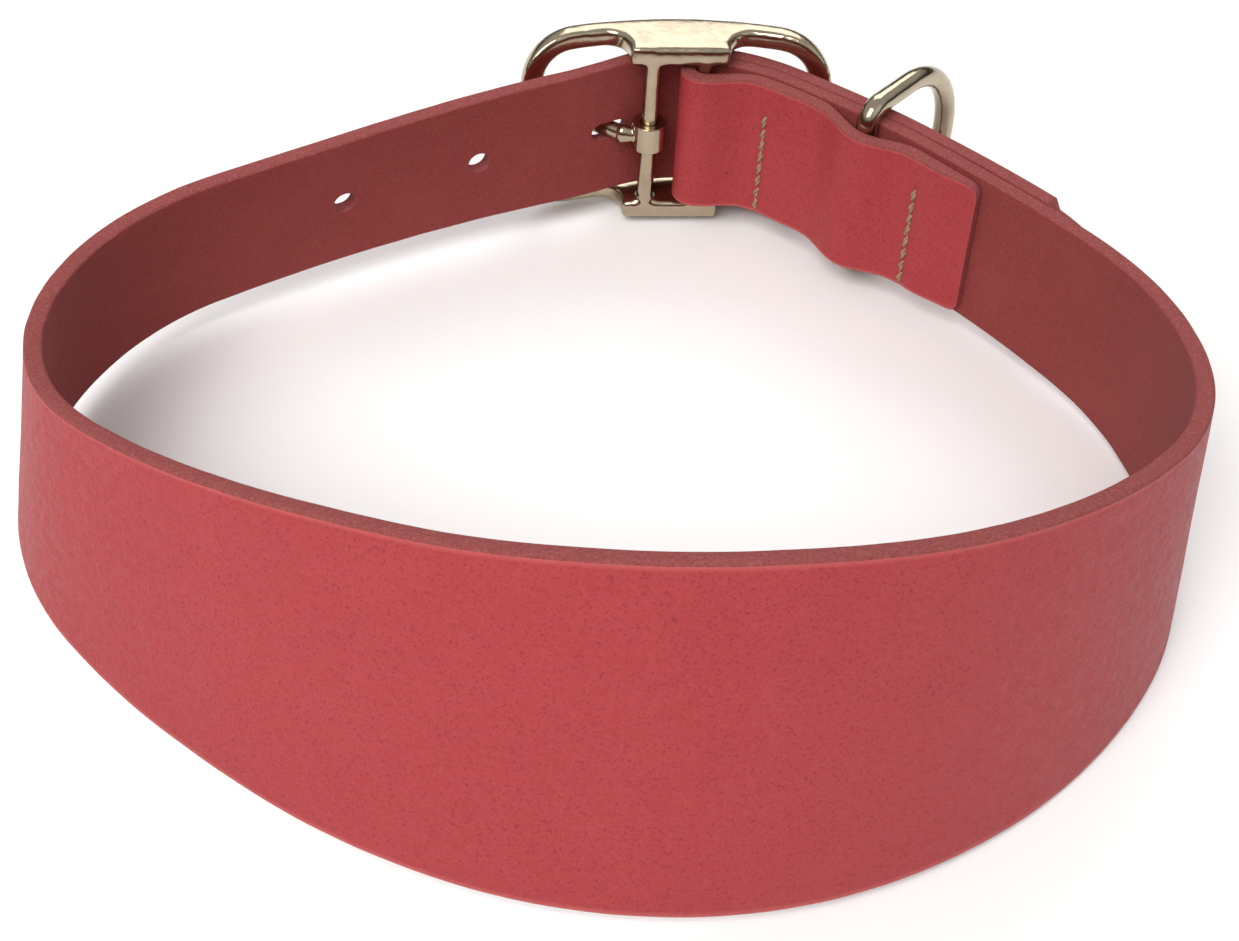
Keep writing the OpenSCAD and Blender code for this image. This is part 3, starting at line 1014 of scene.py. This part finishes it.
# ---- the studio ----
@dataclass
class Studio:
    """Pale floor, soft lights and the camera."""

    camera_at: Tuple[float, float, float] = (0.0, -0.184629, 0.213352)
    aim_at: Tuple[float, float, float] = (0.000428, -0.009921, 0.020)
    camera_roll: float = 3.5398
    lens: float = 52.3
    floor_color: Color = (0.93, 0.93, 0.93)
    sky: Color = (1.0, 1.0, 1.0)
    horizon: Color = (0.10, 0.105, 0.07)
    sky_strength: float = 0.54
    floor_size: float = 3000.0

    def floor(self) -> bpy.types.Object:
        """Returns the floor, just under the collar."""
        bm = bmesh.new()
        bmesh.ops.create_grid(bm, x_segments=8, y_segments=8, size=self.floor_size)
        recipe = Recipe("pale_floor")
        recipe.shader.inputs["Base Color"].default_value = (*self.floor_color, 1)
        recipe.shader.inputs["Roughness"].default_value = 0.9
        made = make_object("floor", bm, [recipe.material])
        made.location.z = -0.0001
        return made

    def lamp(self, name: str, at: Sequence[float], size: float, watts: float, color: Color) -> bpy.types.Object:
        """Hangs a square soft light.

        Args:
            name: The light's name.
            at: Its place in metres.
            size: Its width in metres.
            watts: Its power.
            color: Its colour.

        Returns:
            The light, aimed at the collar.
        """
        data = bpy.data.lights.new(name, "AREA")
        data.shape, data.size, data.energy, data.color = "SQUARE", size, watts, color
        made = bpy.data.objects.new(name, data)
        made.location = at
        made.rotation_euler = (Vector((0, 0, 0.02)) - Vector(at)).to_track_quat("-Z", "Y").to_euler()
        bpy.context.scene.collection.objects.link(made)
        return made

    def world(self) -> None:
        """Lights the room from above and leaves it dark low down, for the metal to reflect."""
        world = bpy.data.worlds.new("room")
        world.use_nodes = True
        tree = world.node_tree
        back = tree.nodes["Background"]
        back.inputs["Strength"].default_value = self.sky_strength
        place = tree.nodes.new("ShaderNodeTexCoord")
        split = tree.nodes.new("ShaderNodeSeparateXYZ")
        ramp = tree.nodes.new("ShaderNodeValToRGB")
        ramp.color_ramp.elements[0].position, ramp.color_ramp.elements[0].color = 0.16, (*self.horizon, 1)
        ramp.color_ramp.elements[1].position, ramp.color_ramp.elements[1].color = 0.42, (*self.sky, 1)
        tree.links.new(place.outputs["Generated"], split.inputs["Vector"])
        tree.links.new(split.outputs["Z"], ramp.inputs["Fac"])
        tree.links.new(ramp.outputs["Color"], back.inputs["Color"])
        bpy.context.scene.world = world
        bpy.context.scene.view_settings.view_transform = "Standard"

    def camera(self) -> bpy.types.Object:
        """Returns the scene's camera."""
        data = bpy.data.cameras.new("camera")
        data.sensor_width, data.lens = 36.0, self.lens
        data.clip_start, data.clip_end = 0.01, 20
        made = bpy.data.objects.new("camera", data)
        look = Vector(self.aim_at) - Vector(self.camera_at)
        turn = look.to_track_quat("-Z", "Y").to_matrix().to_4x4()
        roll = Matrix.Rotation(math.radians(self.camera_roll), 4, "Z")
        made.matrix_world = Matrix.Translation(self.camera_at) @ turn @ roll
        bpy.context.scene.collection.objects.link(made)
        bpy.context.scene.camera = made
        return made

    def build(self) -> None:
        """Sets up floor, lights and camera."""
        self.floor()
        self.world()
        self.lamp("key", (-0.3, -0.52, 0.82), 0.6, 8.6, (1.0, 0.98, 0.96))
        self.lamp("fill", (0.7, -0.5, 0.6), 0.8, 0.6, (0.97, 0.98, 1.0))
        self.lamp("back", (0.1, 0.8, 0.7), 0.7, 3.5, (1.0, 1.0, 1.0))
        self.camera()


LEATHERS = [finish.make() for finish in (GrainFinish(), EdgeFinish(), FleshFinish())]
THREAD = ThreadFinish().make()
BUCKLE_METAL = PlatedFinish("buckle_metal").make()
RING_METAL = PlatedFinish("ring_metal", roughness=(0.10, 0.2), pitting=0.005).make()


def main() -> None:
    """Builds every piece in order and reports it."""
    logging.basicConfig(level=logging.INFO, format="%(message)s")
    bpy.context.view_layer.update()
    loop = Loop()
    builders = (
        ("strap", Strap(loop)),
        ("seams", Seams(loop)),
        ("buckle frame", Casting(loop, "buckle_frame", Body.FRAME, guard=frame_guard)),
        ("buckle tongue", Casting(loop, "buckle_tongue", Body.TONGUE, 0.14, 8, tongue_guard, tongue_shape)),
        ("dee ring", DeeRing(loop)),
    )
    for name, builder in builders:
        made = builder.build()
        pieces = made if isinstance(made, list) else [made]
        LOG.info("%s: %s", name, ", ".join(f"{p.name} {len(p.data.polygons)} faces" for p in pieces))
    Studio().build()


if __name__ == "__main__":
    main()
